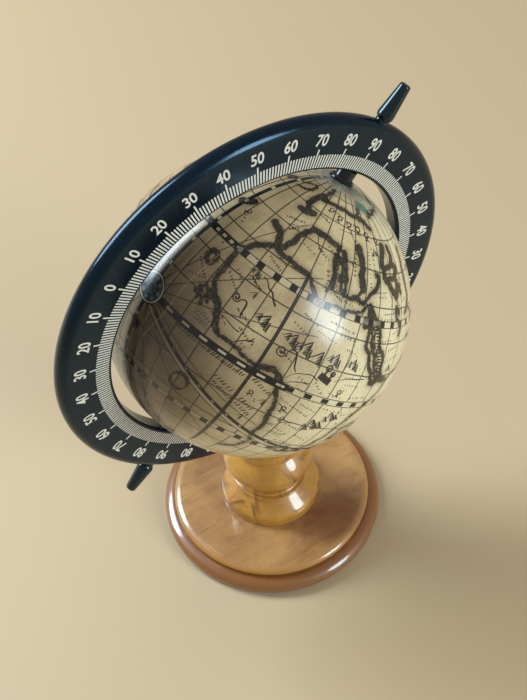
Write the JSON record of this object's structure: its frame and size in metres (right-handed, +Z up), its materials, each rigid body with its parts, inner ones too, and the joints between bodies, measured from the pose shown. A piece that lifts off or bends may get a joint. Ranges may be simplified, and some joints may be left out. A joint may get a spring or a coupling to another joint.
{
  "type": "table globe",
  "caption": "Small table globe: a varnished paper-covered ball spins on a polar rod in a full degree ring, which slides round in the slotted head of a turned wooden stand.",
  "frame": {"origin": "centre of the underside, on the surface that the globe stands on", "axes": "+Z up; the ring stands in the XZ plane with its scale facing -Y; the north pole leans towards +X"},
  "size_m": [0.187, 0.13, 0.2547],
  "materials": {
    "turned_wood": "glossy amber varnish on turned wood",
    "felt": "dark green felt",
    "steel": "plain bright steel",
    "ring_plastic": "semi-gloss black with white printed scale",
    "finial_plastic": "glossy black",
    "card": "pressed card",
    "map_paper": "aged printed paper under varnish",
    "fibre": "red-brown fibre"
  },
  "bodies": {
    "stand": {"base_disc": "turned_wood", "base_felt": "felt", "column": "turned_wood", "column_screw": "steel", "screw_washer": "steel", "slot_lining": "felt"},
    "ring": {"meridian_ring": "ring_plastic", "axis_rod": "steel", "north_finial": "finial_plastic", "south_finial": "finial_plastic", "north_collar": "finial_plastic", "south_collar": "finial_plastic"},
    "ball": {"north_shell": "card", "south_shell": "card", "equator_band": "card", "north_map": "map_paper", "south_map": "map_paper", "north_bush": "finial_plastic", "south_bush": "finial_plastic", "north_washer": "fibre", "south_washer": "fibre"}
  },
  "joints": [
    {"name": "ring_turn", "type": "hinge", "parent": "stand", "child": "ring", "pos_m": [0, 0, 0.1612], "axis": [0, 1, 0], "range_deg": [-28, 124]},
    {"name": "ball_spin", "type": "hinge", "parent": "ring", "child": "ball", "pos_m": [0, 0, 0.1612], "axis": [0.6704, 0, 0.742], "continuous": true}
  ]
}
